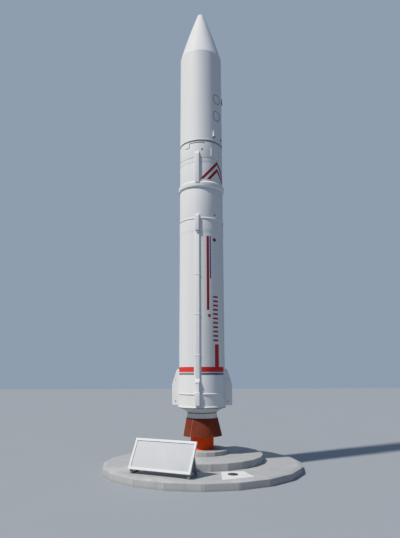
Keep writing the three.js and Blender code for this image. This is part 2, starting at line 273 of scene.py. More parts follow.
def addStripes(graph, colour, place):
    s = paintSettings
    z = graph.part(place, "Z")
    azimuth = graph.part(place, "X").math("ARCTAN2", -graph.part(place, "Y")) * (180 / math.pi)
    # the back repeats the front, so azimuths fold into -90 to 90
    folded = (azimuth + 90).math("FLOORED_MODULO", 180.0) - 90
    # the side towards the sun is painted lighter: partly sun fading, partly painted sunlight
    shiftedTone = 1 - abs(azimuth - s["sunnySide"]).above(s["fadeAndSunlightReach"], s["fadeAndSunlightSoft"])
    soft = edgeSoft
    softAngle = math.degrees(edgeSoft / bodyRadius)
    metresPerDegree = math.radians(bodyRadius)

    def bar(mark):
        upright = z.between(mark["low"], mark["high"], soft)
        return upright * folded.between(mark["from"], mark["to"], softAngle)

    # the band and the line stop at the ducts and the pods
    band, line = stripes["band"], stripes["line"]
    allRound = abs(folded - ductAzimuth).above(band["ductGap"], softAngle)
    for pod in (podAzimuth, podAzimuth - 180):
        allRound *= abs(folded - pod).above(band["podGap"], softAngle)
    lineMask = z.between(line["low"], line["high"], soft) * allRound
    bandMask = z.between(band["low"], band["high"], soft) * allRound
    marks = [
        (lineMask, graph.mix(shiftedTone, s["lineBlue"], s["fadedSunlitBlue"])),
        (bar(stripes["riser"]), s["riserRed"]),
        (bandMask, graph.mix(shiftedTone, s["bandRed"], s["fadedSunlitRed"])),
        (bar(stripes["redStripe"]), s["darkRed"]),
        (bar(stripes["blueStripe"]), s["stripeBlue"]),
    ]
    disc = stripes["disc"]
    across = (folded - disc["azimuth"]) * metresPerDegree
    up = z - disc["height"]
    reach = (across * across + up * up).math("SQRT")
    marks.append((1 - reach.above(disc["radius"], soft), s["darkRed"]))
    chevron = stripes["chevron"]
    sideways = abs((folded - chevron["azimuth"]) * metresPerDegree)
    below = chevron["apex"] - z - sideways * chevron["slope"]
    inside = z.above(chevron["foot"], soft)
    for near, far in chevron["strokes"]:
        marks.append((below.between(near, far, soft) * inside, s["darkRed"]))
    # plain bars in a column
    bars = stripes["bars"]
    pitch = (bars["high"] - bars["low"]) / bars["count"]
    phase = ((z - bars["low"]) / pitch).math("FRACT")
    marks.append((phase.between(0.0, bars["fill"], soft / pitch) * bar(bars), s["darkRed"]))
    return graph.layered(colour, marks)


# Cloudy paint with rain streaks and a fine grain
def makePaint(name, fresh, shiftedTone, stain, cloudScale, streakShare, roughness, coat, specular):
    constants = {"Specular IOR Level": specular, "Coat Weight": coat, "Coat Roughness": 0.25}
    material, graph, shader, place = newMaterial(name, constants)
    clouds = graph.noise(place, cloudScale, 4.0)
    colour = graph.mix(clouds.between(0.4, 0.72, 0.14), fresh, shiftedTone)
    streaks = graph.noise(graph.stretched(place, (20.0, 20.0, 1.1)), 1.0, 4.0, 0.6).above(0.6, 0.14)
    colour = graph.mix(streaks * streakShare, colour, stain)
    normal = graph.bump(graph.noise(place, 210.0), 0.0004, 0.4)
    feedShader(graph, shader, colour, roughness + clouds * 0.16 + streaks * 0.12, normal)
    return material


# Colour, faded colour, stain, cloud scale, share of streaks, roughness, coat and specular level
paintTable = {
    "greyPaint": ((0.56, 0.58, 0.59), (0.6, 0.62, 0.62), (0.28, 0.27, 0.25), 5.0, 0.2, 0.45, 0.05, 0.3),
    "paleGreyPaint": ((0.93, 0.92, 0.88), (0.88, 0.88, 0.86), (0.4, 0.39, 0.37), 5.0, 0.2, 0.45, 0.05, 0.3),
    "nozzlePaint": ((0.17, 0.033, 0.018), (0.21, 0.044, 0.022), (0.06, 0.016, 0.012),
                    6.0, 0.3, 0.55, 0.0, 0.08),
    "seamHighlightPaint": ((0.36, 0.17, 0.11), (0.4, 0.22, 0.15), (0.16, 0.07, 0.05), 12.0, 0.3, 0.5, 0.0, 0.3),
    "pipePaint": ((1.0, 0.068, 0.005), (1.0, 0.085, 0.008), (0.5, 0.03, 0.006), 8.0, 0.25, 0.5, 0.0, 0.12),
    "boardPaint": ((0.86, 0.87, 0.89), (0.8, 0.81, 0.83), (0.5, 0.5, 0.48), 4.0, 0.1, 0.5, 0.0, 0.25),
    "panelPaint": ((0.54, 0.57, 0.62), (0.5, 0.53, 0.57), (0.36, 0.37, 0.38), 3.0, 0.12, 0.62, 0.0, 0.2),
    "standPaint": ((0.2, 0.205, 0.21), (0.26, 0.26, 0.265), (0.16, 0.1, 0.07), 14.0, 0.3, 0.5, 0.05, 0.4),
    "darkPaint": ((0.05, 0.056, 0.064), (0.08, 0.086, 0.094), (0.03, 0.03, 0.03), 20.0, 0.2, 0.6, 0.0, 0.3),
    "sealAndShadePaint": ((0.2, 0.22, 0.24), (0.26, 0.28, 0.3), (0.12, 0.12, 0.12), 20.0, 0.2, 0.6, 0.0, 0.3),
    "orangePaint": ((0.42, 0.07, 0.03), (0.38, 0.09, 0.05), (0.2, 0.05, 0.03), 20.0, 0.2, 0.5, 0.05, 0.3),
}
paints = {name: makePaint(name, *columns) for name, columns in paintTable.items()}
whitePaint = makeWhitePaint("whitePaint", True)
plainWhite = makeWhitePaint("plainWhite", False)
print("paints mixed")

concreteSettings = {
    "shine": {"Specular IOR Level": 0.25}, "roughness": 0.86,
    "light": (0.435, 0.445, 0.45), "newer": (0.49, 0.497, 0.49), "dark": (0.36, 0.37, 0.375),
    "side": (0.44, 0.45, 0.455), "sideShadeShare": 0.7, "mottleShare": 0.2,
    "stain": (0.22, 0.22, 0.21), "stainShare": 0.22, "footShare": 0.35, "poreShare": 0.4,
    "patch": (0.66, 0.67, 0.68), "joint": (0.22, 0.22, 0.22), "jointShare": 0.7,
}
# a newer slab let into the lower deck round the cover: its corners seen from above, anticlockwise
patchCorners = ((0.291, -1.049), (0.288, -1.568), (0.782, -1.347), (0.65, -0.991))


# 1 inside the slab, falling to 0 over the soft width at its edges
def patchMask(graph, place, soft):
    x, y = graph.part(place, "X"), graph.part(place, "Y")
    mask = None
    for start, end in zip(patchCorners, patchCorners[1:] + patchCorners[:1]):
        along = (Vector(end) - Vector(start)).normalized()
        inward = (x - start[0]) * -along.y + (y - start[1]) * along.x
        side = inward.above(0.0, soft)
        mask = mask * side if mask else side
    return mask


def makeConcrete(name, patched):
    s = concreteSettings
    material, graph, shader, place = newMaterial(name, s["shine"])
    clouds = graph.noise(place, 2.3, 5.0, 0.6)
    colour = graph.mix(clouds.between(0.4, 0.8, 0.14), s["light"] if patched else s["newer"], s["dark"])
    mottle = graph.noise(place, 17.0, 5.0, 0.65)
    colour = graph.mix(mottle.above(0.56, 0.14) * s["mottleShare"], colour, s["dark"])
    if patched:
        colour = graph.mix(patchMask(graph, place, 0.006), colour, s["patch"])
        rim = patchMask(graph, place, 0.004)
        colour = graph.mix((rim * 4 * (1 - rim)).clamped() * s["jointShare"], colour, s["joint"])
    normal = graph.node("ShaderNodeNewGeometry", {}, {}, "Normal")
    facingUp = graph.part(normal, "Z").above(0.5, 0.3)
    stains = graph.noise(graph.stretched(place, (5.0, 5.0, 1.2)), 1.0, 4.0, 0.6).above(0.62, 0.1)
    foot = 1 - graph.part(place, "Z").above(0.018, 0.02)
    pores = graph.node("ShaderNodeTexVoronoi", {}, {"Vector": place, "Scale": 130.0}, "Distance")
    poreMask = (1 - pores.above(0.2, 0.06)) * graph.noise(place, 30.0).above(0.56, 0.06)
    # faces that don't face up take the side colour, painted shade on the walls; then stains, a darker foot
    # and dark pores
    colour = graph.layered(colour, [
        ((1 - facingUp) * s["sideShadeShare"], s["side"]), (stains * s["stainShare"], s["stain"]),
        (foot * s["footShare"], s["stain"]), (poreMask * s["poreShare"], s["stain"]),
    ])
    normal = graph.bump(mottle, 0.003, 0.4)
    normal = graph.bump(graph.noise(place, 420.0, 3.0, 0.7), 0.0012, 0.5, normal)
    normal = graph.bump(poreMask, -0.002, 0.6, normal)
    feedShader(graph, shader, colour, s["roughness"] + mottle * 0.08 - stains * 0.1, normal)
    return material


ironSettings = {
    "shine": {"Specular IOR Level": 0.4}, "dark": (0.035, 0.036, 0.038), "worn": (0.09, 0.09, 0.092),
    "rust": (0.13, 0.06, 0.03), "rustShare": 0.5, "metallic": 0.5, "roughness": 0.5,
}


def makeCoverIron():
    s = ironSettings
    material, graph, shader, place = newMaterial("coverIron", s["shine"])
    wear = graph.noise(place, 38.0, 4.0, 0.6)
    rust = graph.noise(place, 11.0, 4.0, 0.6).above(0.57, 0.08)
    colour = graph.mix(wear.between(0.45, 0.8, 0.12), s["dark"], s["worn"])
    colour = graph.mix(rust * s["rustShare"], colour, s["rust"])
    feedShader(graph, shader, colour, s["roughness"] + wear * 0.3, graph.bump(wear, 0.001, 0.5))
    graph.feed(shader.inputs["Metallic"], s["metallic"] - rust * 0.4)
    return material


concrete = makeConcrete("concrete", False)
deckConcrete = makeConcrete("deckConcrete", True)
coverIron = makeCoverIron()
print("concrete and iron mixed")


def finishPiece(name, bm, material, slotName, replaced=(), sharpAngle=32.0):
    mesh = bpy.data.meshes.new(name)
    bm.to_mesh(mesh)
    bm.free()
    finishMesh(name, mesh, material, slotName, replaced, sharpAngle)


# A finished piece: smooth with sharp edges, painted, riding on the body
def finishMesh(name, mesh, material, slotName, replaced=(), sharpAngle=32.0):
    mesh.name = name
    mesh.materials.clear()
    mesh.materials.append(material)
    mesh.shade_smooth()
    mesh.set_sharp_from_angle(angle=math.radians(sharpAngle))
    piece = newObject(name, mesh)
    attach(piece, "root")
    if replaced:
        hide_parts(*replaced)


# Rounds the corners of a closed outline. A corner is (x, y) or (x, y, fillet)
def rounded(corners, fillet=0.0, steps=4):
    points = []
    for i, corner in enumerate(corners):
        here = Vector(corner[:2])
        radius = corner[2] if len(corner) > 2 else fillet
        before = Vector(corners[i - 1][:2]) - here
        after = Vector(corners[(i + 1) % len(corners)][:2]) - here
        if radius <= 0 or before.length < tiny or after.length < tiny:
            points.append(here)
            continue
        longest = min(before.length, after.length) * 0.45
        reach = min(radius / math.tan(before.angle(after) / 2), longest)
        start = here + before.normalized() * reach
        end = here + after.normalized() * reach
        for k in range(steps + 1):
            t = k / steps
            points.append(start * (1 - t) ** 2 + here * 2 * t * (1 - t) + end * t * t)
    return points


# Carries a closed outline of (radius, height) points round Z, with a pole for a point on the axis
def sweep(outline, count, placeAt):
    bm = bmesh.new()
    rings = []
    for i, (radius, height) in enumerate(outline):
        places = [placeAt(i, k) for k in range(count)] if radius > tiny else [(0, 0, height)]
        rings.append([bm.verts.new(place) for place in places])
    for lower, upper in zip(rings, rings[1:] + rings[:1]):
        for i in range(count):
            j = (i + 1) % count
            lowerTwo = [lower[k % len(lower)] for k in (i, j)]
            upperTwo = [upper[k % len(upper)] for k in (j, i)]
            face = list(dict.fromkeys(lowerTwo + upperTwo))
            if len(face) > 2:
                bm.faces.new(face)
    bmesh.ops.recalc_face_normals(bm, faces=bm.faces)
    return bm


turnedSides = 160


# A body of revolution with rounded corners
def turned(corners, fillet=0.0):
    outline = rounded(corners, fillet)
    turn = 360 / turnedSides
    return sweep(outline, turnedSides, lambda i, k: polar(outline[i][0], k * turn, outline[i][1]))


barrelWall = 0.0045
barrelFillet = 0.0015
plainEnd = ((0, 0),)


# A barrel from its outer corners: how proud of the body, a height and perhaps a fillet of its own.
# Heights are above the foot, the rocket's own in the middle, and below the top
def addBarrel(name, node, foot=plainEnd, middle=(), top=plainEnd):
    low, high = span(node)
    outer = [(bodyRadius + proud, low + up, *fillet) for proud, up, *fillet in foot]
    outer += [(bodyRadius + proud, height, *fillet) for proud, height, *fillet in middle]
    outer += [(bodyRadius + proud, high - down, *fillet) for proud, down, *fillet in top]
    inner = [(corner[0] - barrelWall, corner[1], 0) for corner in reversed(outer)]
    finishPiece(name, turned([*outer, *inner], barrelFillet), whitePaint, "white_paint", [node])


# Corners of shallow grooves at joints
def grooves(joints, depth, width):
    profile = ((0, -0.5), (-depth, -0.25), (-depth, 0.25), (0, 0.5))
    return [(proud, joint + width * share) for joint in joints for proud, share in profile]


barrels = {
    # a rim at the foot and a rib
    "aftSkirt": {
        "node": "aft_skirt",
        "foot": ((0.010, 0, 0.003), (0.010, 0.018, 0.004), (0, 0.030, 0.006)),
        "middle": ((0, 1.273, 0.003), (0.010, 1.278, 0.003), (0.010, 1.296, 0.003), (0, 1.301, 0.003)),
        "top": ((0, 0.0015),),
    },
    "motorCase": {"node": "motor_case", "middle": grooves([1.6325], 0.0015, 0.004), "top": ((0, 0, 0),)},
    # a long slope, then a groove and a ridge
    "forwardCollar": {
        "node": "forward_collar",
        "foot": ((0, 0, 0), (0.004, 0.060, 0.030)),
        "top": ((0.004, 0.043, 0.002), (0.001, 0.040, 0.001), (0.001, 0.034, 0.001),
                (0.013, 0.030, 0.003), (0.013, 0.014, 0.004), (0, 0, 0.004)),
    },
    "secondStageBarrel": {"node": "second_stage_barrel"},
    "ringFlange": {
        "node": "ring_flange",
        "foot": ((0, 0, 0.001), (0, 0.014, 0.003), (0.027, 0.031, 0.006), (0.027, 0.105, 0.006)),
        "top": ((0.004, 0.006, 0.003), (0, 0, 0.002)),
    },
    "interstageBarrel": {"node": "interstage_barrel", "middle": grooves([5.6, 5.692], 0.005, 0.010)},
    # a step in under the fairing, which leaves a dark gap all round
    "equipmentBarrel": {
        "node": "equipment_barrel",
        "middle": ((0, 6.026, 0.001), (-0.014, 6.028, 0.001)),
        "top": ((-0.014, 0),),
    },
    # a lip at the foot
    "fairingBarrel": {
        "node": "fairing_barrel",
        "foot": ((0.004, 0, 0.0015), (0.004, 0.028, 0.002), (0.001, 0.034, 0.002)),
        "top": ((0.001, 0.004, 0.002), (-0.0005, 0, 0.001)),
    },
}
for name, settings in barrels.items():
    addBarrel(name, **settings)
print("barrels turned")

# The nose by a rule: a grid whose two parameters are turned into azimuth and arc length
nose = {
    "radius": 0.418, "tipRadius": 0.075, "swell": 0.011, "columns": 161, "rows": 90,
    "wall": 0.0045, "tipGap": 2e-5, "merge": 1e-5,
}


# A tree with named inputs, a material the last, and a function that gives an input's field
def newTree(name, sockets):
    tree = bpy.data.node_groups.new(name, "GeometryNodeTree")
    for socketName, kind, default in (*sockets, ("Material", "Material", None)):
        socket = tree.interface.new_socket(socketName, in_out="INPUT", socket_type="NodeSocket" + kind)
        if default is not None:
            socket.default_value = default
    tree.interface.new_socket("Geometry", in_out="OUTPUT", socket_type="NodeSocketGeometry")
    graph = Graph(tree)
    given = tree.nodes.new("NodeGroupInput")
    return graph, lambda socketName: Field(graph, given.outputs[socketName])


# Real geometry with its material, the end of every tree
def endTree(graph, geometry, material):
    real = graph.node("GeometryNodeRealizeInstances", {}, {"Geometry": geometry})
    painted = graph.node("GeometryNodeSetMaterial", {}, {"Geometry": real, "Material": material})
    out = graph.tree.nodes.new("NodeGroupOutput")
    graph.feed(out.inputs["Geometry"], painted)
    return graph.tree


def buildNoseTree():
    graph, value = newTree("noseSkin", (
        ("Base Height", "Float", 0.0), ("Radius", "Float", nose["radius"]), ("Height", "Float", 1.0),
        ("Tip Radius", "Float", nose["tipRadius"]), ("Swell", "Float", nose["swell"]),
        ("Columns", "Int", nose["columns"]), ("Rows", "Int", nose["rows"]),
    ))
    radius, height, tip = value("Radius"), value("Height"), value("Tip Radius")
    # where the straight side touches the ball of the tip
    centre = height - tip
    slant = (radius * radius + centre * centre).math("SQRT")
    tangent = (slant * slant - tip * tip).math("SQRT")
    angle = centre.math("ARCTAN2", -radius) - (tip / slant).math("ARCSINE")
    touchRadius = radius + tangent * angle.math("COSINE")
    touchHeight = tangent * angle.math("SINE")
    start = (touchHeight - centre).math("ARCTAN2", touchRadius)
    whole = tangent + (math.pi / 2 - start) * tip
    grid = {"Size X": 1.0, "Size Y": 1.0, "Vertices X": value("Columns"), "Vertices Y": value("Rows")}
    mesh = graph.node("GeometryNodeMeshGrid", {}, grid, "Mesh")
    position = graph.node("GeometryNodeInputPosition")
    azimuth = (graph.part(position, "X") + 0.5) * (2 * math.pi)
    run = (graph.part(position, "Y") + 0.5) * whole
    onTip = (run - tangent).math("GREATER_THAN", 0.0)
    along = run / tangent
    swell = value("Swell") * 4 * along * (1 - along)
    coneRadius = radius + (touchRadius - radius) * along + swell * start.math("COSINE")
    coneHeight = touchHeight * along + swell * start.math("SINE")
    turn = start + (run - tangent) / tip
    tipRadius = tip * turn.math("COSINE")
    tipHeight = centre + tip * turn.math("SINE")
    ringRadius = (coneRadius * (1 - onTip) + tipRadius * onTip).math("MAXIMUM", 0.0)
    ringHeight = coneHeight * (1 - onTip) + tipHeight * onTip + value("Base Height")
    x, y = ringRadius * azimuth.math("SINE"), -(ringRadius * azimuth.math("COSINE"))
    point = graph.node("ShaderNodeCombineXYZ", {}, {"X": x, "Y": y, "Z": ringHeight})
    shaped = graph.node("GeometryNodeSetPosition", {}, {"Geometry": mesh, "Position": point})
    merged = graph.node("GeometryNodeMergeByDistance", {}, {"Geometry": shaped, "Distance": nose["merge"]})
    return endTree(graph, merged, value("Material"))


# Runs a tree on an empty mesh, or on a given one, and returns the plain mesh it makes
def runTree(tree, values, mesh=None):
    holder = newObject("holder", mesh or bpy.data.meshes.new("start"))
    modifier = holder.modifiers.new("nodes", "NODES")
    modifier.node_group = tree
    identifiers = {item.name: item.identifier for item in tree.interface.items_tree if item.in_out == "INPUT"}
    for socketName, value in values.items():
        modifier[identifiers[socketName]] = value
    graph = bpy.context.evaluated_depsgraph_get()
    graph.update()
    made = bpy.data.meshes.new_from_object(holder.evaluated_get(graph), depsgraph=graph)
    holder.modifiers.remove(modifier)
    bpy.data.objects.remove(holder)
    return made


def addNose():
    low, high = span("nose_cone")
    values = {"Base Height": low, "Height": high - low - nose["tipGap"], "Material": whitePaint}
    bm = bmesh.new()
    bm.from_mesh(runTree(buildNoseTree(), values))
    bmesh.ops.remove_doubles(bm, verts=bm.verts, dist=nose["merge"])
    bmesh.ops.recalc_face_normals(bm, faces=bm.faces)
    top = max(bm.faces, key=lambda f: f.calc_center_median().z)
    if top.normal.z < 0:
        bmesh.ops.reverse_faces(bm, faces=bm.faces)
    bmesh.ops.solidify(bm, geom=bm.faces, thickness=nose["wall"])
    finishPiece("noseCone", bm, whitePaint, "white_paint", ["nose_cone"])


addNose()
print("nose made")

aft = {
    "nozzleExit": 0.345, "exitShift": 0.011, "nozzleTop": 0.281, "lipDrop": 0.012, "lipProud": 0.001,
    "wall": 0.008, "throatFoot": 0.276, "throatTop": 0.262, "groove": 0.008, "grooveRadius": 0.256,
    "dishRim": 0.424, "dishStep": 0.374, "stepHeight": 0.017, "rimWall": 0.010, "dishWall": 0.004,
    "pipe": 0.2032, "pipeWall": 0.0095,
}
bellExit, bellTop = span("nozzle_bell")


# The nozzle leans a little to the right towards its exit
def bellShift(height):
    return aft["exitShift"] * min(max((bellTop - height) / (bellTop - bellExit), 0), 1)


def addAftEnd():
    s = aft
    wall, wide, narrow = s["wall"], s["nozzleExit"], s["nozzleTop"]
    bm = turned([
        (wide, bellExit, 0.003),
        (narrow + s["lipProud"], bellTop - s["lipDrop"], 0.002),
        (narrow, bellTop, 0.003),
        (narrow - 2 * wall, bellTop, 0.001),
        (narrow - 2 * wall, bellTop - wall, 0.001),
        (wide - wall, bellExit, 0.003),
    ])
    for vert in bm.verts:
        vert.co.x += bellShift(vert.co.z)
    finishPiece("nozzleBell", bm, paints["nozzlePaint"], "nozzle_paint", ["nozzle_bell"])
    foot, head = span("throat_ring")
    throat = [
        (s["throatFoot"], foot, 0.003),
        (s["throatTop"], head - 2 * s["groove"], 0.003),
        (s["grooveRadius"], head - s["groove"], 0.001),
        (s["grooveRadius"], head),
        (s["grooveRadius"] - wall, head),
        (s["throatFoot"] - wall, foot, 0.001),
    ]
    finishPiece("throatRing", turned(throat), paints["paleGreyPaint"], "grey_paint", ["throat_ring"])
    low, high = span("aft_closure")[0], span("aft_skirt")[0]
    step = high - s["stepHeight"]
    dish = [
        (0, low),
        (s["throatTop"], low, 0.002),
        (s["dishStep"], step, 0.006),
        (s["dishRim"], high, 0.003),
        (s["dishRim"] - s["rimWall"], high),
        (s["dishStep"] - s["dishWall"], step + wall),
        (s["throatTop"] - s["dishWall"], low + wall),
        (0, low + wall),
    ]
    finishPiece("aftClosure", turned(dish), paints["greyPaint"], "grey_paint", ["aft_closure"])
    foot, head = span("support_pipe")
    bore = s["pipe"] - s["pipeWall"]
    pipe = [(s["pipe"], foot), (s["pipe"], head), (bore, head), (bore, foot)]
    finishPiece("supportPipe", turned(pipe), paints["pipePaint"], "pipe_paint", ["support_pipe"])


addAftEnd()
print("aft end made")

edgeRules = {"merge": 1e-5, "flatAngle": 1, "sharpAngle": 12, "skin": bodyRadius + 0.002}


def bevelEdges(bm, edges, width, segments):
    rules = {"profile": 0.5, "affect": "EDGES", "clamp_overlap": True}
    bmesh.ops.bevel(bm, geom=edges, offset=width, segments=segments, **rules)


# A CAD solid's own faces with its sharp edges rounded, apart from those that lie on the skin
def roundedNode(node, width, segments=3):
    bm = bmesh.new()
    bm.from_mesh(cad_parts[node].data)
    bmesh.ops.remove_doubles(bm, verts=bm.verts, dist=edgeRules["merge"])
    flat = math.radians(edgeRules["flatAngle"])
    bmesh.ops.dissolve_limit(bm, angle_limit=flat, verts=bm.verts, edges=bm.edges)

    def toRound(edge):
        free = all(vert.co.to_2d().length > edgeRules["skin"] for vert in edge.verts)
        sharp = math.radians(edgeRules["sharpAngle"])
        return free and len(edge.link_faces) == 2 and edge.calc_face_angle(0) > sharp

    bevelEdges(bm, [edge for edge in bm.edges if toRound(edge)], width, segments)
    return bm


def narrowTop(bm, share):
    heights = [vert.co.z for vert in bm.verts]
    low, high = min(heights), max(heights)
    middle = sum((vert.co for vert in bm.verts), Vector()) / len(bm.verts)
    sideways = Vector((-middle.y, middle.x, 0)).normalized()
    for vert in bm.verts:
        across = (vert.co - middle).dot(sideways)
        vert.co -= sideways * across * share * (vert.co.z - low) / (high - low)


# Piece name, width of its rounded edges and steps across them
fittings = {
    "aft_pod_left": ("aftPodLeft", 0.02, 5), "aft_pod_right": ("aftPodRight", 0.02, 5),
    "raceway_foot_front": ("ductFootFront", 0.003, 3), "raceway_foot_back": ("ductFootBack", 0.003, 3),
    "raceway_long_front": ("longDuctFront", 0.004, 3), "raceway_long_back": ("longDuctBack", 0.004, 3),
    "raceway_box_front": ("ductBoxFront", 0.004, 3), "raceway_box_back": ("ductBoxBack", 0.004, 3),
    "raceway_interstage_front": ("interstageDuctFront", 0.005, 3),
    "raceway_interstage_back": ("interstageDuctBack", 0.005, 3),
    "fairing_bracket": ("fairingBracket", 0.004, 3), "equipment_strip": ("equipmentStrip", 0.003, 3),
}
topNarrowing = {"fairing_bracket": 0.4, "equipment_strip": 0.4}     # share of the width lost at the top
for node, (name, width, segments) in fittings.items():
    bm = roundedNode(node, width, segments)
    if node in topNarrowing:
        narrowTop(bm, topNarrowing[node])
    finishPiece(name, bm, plainWhite, "white_paint", [node])
for node, name in {"fairing_plug": "fairingPlug", "fairing_lug": "fairingLug"}.items():
    finishPiece(name, roundedNode(node, 0.002), paints["darkPaint"], "white_paint", [node])
print("pods, ducts and fittings made")

washer = {"sides": 12, "wider": 1.5, "thinner": 0.8}


# Screw heads on washers at points, each turned to its point's own facing direction
def buildStudTree():
    graph, value = newTree("studs", (
        ("Points", "Geometry", None), ("Radius", "Float", 0.004), ("Height", "Float", 0.003),
        ("Sides", "Int", 6),
    ))
    radius, height = value("Radius"), value("Height")

    def disc(sides, discRadius, thickness, lift):
        sizes = {"Vertices": sides, "Radius": discRadius, "Depth": thickness}
        shape = graph.node("GeometryNodeMeshCylinder", {}, sizes, "Mesh")
        offset = graph.node("ShaderNodeCombineXYZ", {}, {"Z": lift})
        return graph.node("GeometryNodeTransform", {}, {"Geometry": shape, "Translation": offset})

    joined = graph.tree.nodes.new("GeometryNodeJoinGeometry")
    plate = disc(washer["sides"], radius * washer["wider"], height * washer["thinner"], 0.0)
    graph.feed(joined.inputs[0], plate)
    graph.feed(joined.inputs[0], disc(value("Sides"), radius, height, height * 0.5))
    settings = {"data_type": "FLOAT_VECTOR"}
    facing = graph.node("GeometryNodeInputNamedAttribute", settings, {"Name": "facing"}, "Attribute")
    turn = graph.node("FunctionNodeAlignRotationToVector", {"axis": "Z"}, {"Vector": facing}, "Rotation")
    places = {"Points": value("Points"), "Instance": Field(graph, joined.outputs[0]), "Rotation": turn}
    studs = graph.node("GeometryNodeInstanceOnPoints", {}, places, "Instances")
    return endTree(graph, studs, value("Material"))


# A round bead along a line, half sunk in the surface the line lies on
def buildBeadTree():
    graph, value = newTree("beads", (
        ("Line", "Geometry", None), ("Radius", "Float", 0.004), ("Sides", "Int", 8),
    ))
    curve = graph.node("GeometryNodeMeshToCurve", {}, {"Mesh": value("Line")}, "Curve")
    circle = {"Resolution": value("Sides"), "Radius": value("Radius")}
    profile = graph.node("GeometryNodeCurvePrimitiveCircle", {"mode": "RADIUS"}, circle, "Curve")
    parts = {"Curve": curve, "Profile Curve": profile, "Fill Caps": True}
    return endTree(graph, graph.node("GeometryNodeCurveToMesh", {}, parts, "Mesh"), value("Material"))


studTree = buildStudTree()
beadTree = buildBeadTree()


# Points are (place, facing) pairs
def addStuds(name, points, material, size, height, sides=6):
    mesh = bpy.data.meshes.new("points")
    mesh.from_pydata([place for place, facing in points], [], [])
    facings = mesh.attributes.new("facing", "FLOAT_VECTOR", "POINT")
    for i, (place, facing) in enumerate(points):
        facings.data[i].vector = facing
    values = {"Radius": size, "Height": height, "Sides": sides, "Material": material}
    finishMesh(name, runTree(studTree, values, mesh), material, "white_paint")


def addBeads(name, lines, closed, radius, material, slotName="white_paint", sides=8):
    places, edges = [], []
    for line in lines:
        first = len(places)
        places += line
        edges += [(first + i, first + i + 1) for i in range(len(line) - 1)]
        if closed:
            edges.append((first + len(line) - 1, first))
    mesh = bpy.data.meshes.new("lines")
    mesh.from_pydata(places, edges, [])
    values = {"Radius": radius, "Sides": sides, "Material": material}
    finishMesh(name, runTree(beadTree, values, mesh), material, slotName, sharpAngle=60)


# A point on the rocket and the direction that it faces
def facingOut(radius, azimuth, height, across=0.0):
    return polar(radius, azimuth, height, across), polar(1, azimuth, 0)


# Where a duct or pod covers the skin, on both sides: azimuth, half width in degrees, low and high
covered = [(ductAzimuth, 8.5, 1.08, 4.57), (ductAzimuth, 8.0, 5.16, 5.84), (podAzimuth, 10.0, 1.07, 1.74)]


def isCovered(azimuth, height):
    for middle, half, low, high in covered:
        away = (azimuth - middle + 90) % 180 - 90
        if abs(away) < half and low < height < high:
            return True
    return False


# Rings of screws, rivets and bolts: radius, height, how many and size
studRings = {
    "skirtRimScrews": (0.427, 1.059, 60, 0.0038),
    "skirtRibScrews": (0.427, 1.287, 60, 0.0038),
    "skirtTopRivets": (0.417, 1.612, 90, 0.0026),
    "motorFootRivets": (0.417, 1.652, 90, 0.0026),
    "collarScrews": (0.430, 4.478, 60, 0.0038),
    "secondStageRivets": (0.417, 4.523, 90, 0.0026),
    "flangeBolts": (0.444, 5.150, 48, 0.0060),
    "interstageLowRivets": (0.417, 5.585, 90, 0.0026),
    "interstageTopRivets": (0.417, 5.712, 90, 0.0026),
    "fairingFootScrews": (0.421, 6.071, 72, 0.0034),
    "fairingTopRivets": (0.418, 8.004, 90, 0.0026),
}
headHeight = 0.6        # of the size
for name, (radius, height, count, size) in studRings.items():
    azimuths = [(i + 0.5) * (360 / count) for i in range(count)]
    points = [facingOut(radius, azimuth, height) for azimuth in azimuths if not isCovered(azimuth, height)]
    addStuds(name, points, plainWhite, size, size * headHeight)
print("rings of screws made")

# Screws down the faces of the ducts: face radius, distance across, low, high, spacing
ductScrews = {
    "longDuctScrews": (0.439, 0.032, 1.62, 4.19, 0.151),
    "ductBoxScrews": (0.463, 0.029, 4.265, 4.49, 0.112),
    "interstageDuctScrews": (0.454, 0.034, 5.215, 5.74, 0.131),
    "ductFootScrews": (0.470, 0.036, 1.12, 1.29, 0.085),
}
ductScrewSize = (0.0036, 0.0022)
for name, (radius, across, low, high, spacing) in ductScrews.items():
    points = []
    for azimuth in bothSides(ductAzimuth):
        for i in range(int((high - low) / spacing) + 1):
            for side in (-across, across):
                points.append(facingOut(radius, azimuth, low + i * spacing, side))
    addStuds(name, points, plainWhite, *ductScrewSize)

# Dark bolts on both cheeks of each pod, in rows of a height and a size
podBolts = {
    "reach": 0.478, "half": 0.05, "thickness": 0.005,
    "rows": {"podLowerBolts": (1.149, 0.0085), "podUpperBolts": (1.529, 0.005)},
}
for name, (height, size) in podBolts["rows"].items():
    points = []
    for azimuth in bothSides(podAzimuth):
        for side in (-1, 1):
            place = polar(podBolts["reach"], azimuth, height, side * podBolts["half"])
            points.append((place, polar(0, azimuth, 0, side)))
    addStuds(name, points, paints["sealAndShadePaint"], size, podBolts["thickness"])

# Dark vents, orange caps and dull sensor covers: places, size, height, sides and paint
spots = {
    "vents": (((2.4, 5.863), (36.5, 4.554)), 0.0105, 0.006, 12, "darkPaint"),
    "orangeCaps": (((19.2, 2.655),), 0.021, 0.010, 24, "orangePaint"),
    "sensorCovers": (((54.6, 5.777), (54.8, 5.862)), 0.012, 0.006, 8, "greyPaint"),
}
for name, (places, size, thickness, sides, paintName) in spots.items():
    points = []
    for azimuth, height in places:
        points += [facingOut(bodyRadius, either, height) for either in bothSides(azimuth)]
    addStuds(name, points, paints[paintName], size, thickness, sides)


lineSteps = 8       # from corner to corner


# A line on the skin through (azimuth, height) corners, in short steps
def skinLine(corners, radius, closed):
    line = []
    for start, end in zip(corners, corners[1:] + corners[:1] if closed else corners[1:]):
        for i in range(lineSteps):
            azimuth, height = (a + (b - a) * i / lineSteps for a, b in zip(start, end))
            line.append(polar(radius, azimuth, height))
    return line


def ringLine(radius, height, count):
    return [polar(radius, i * (360 / count), height) for i in range(count)]


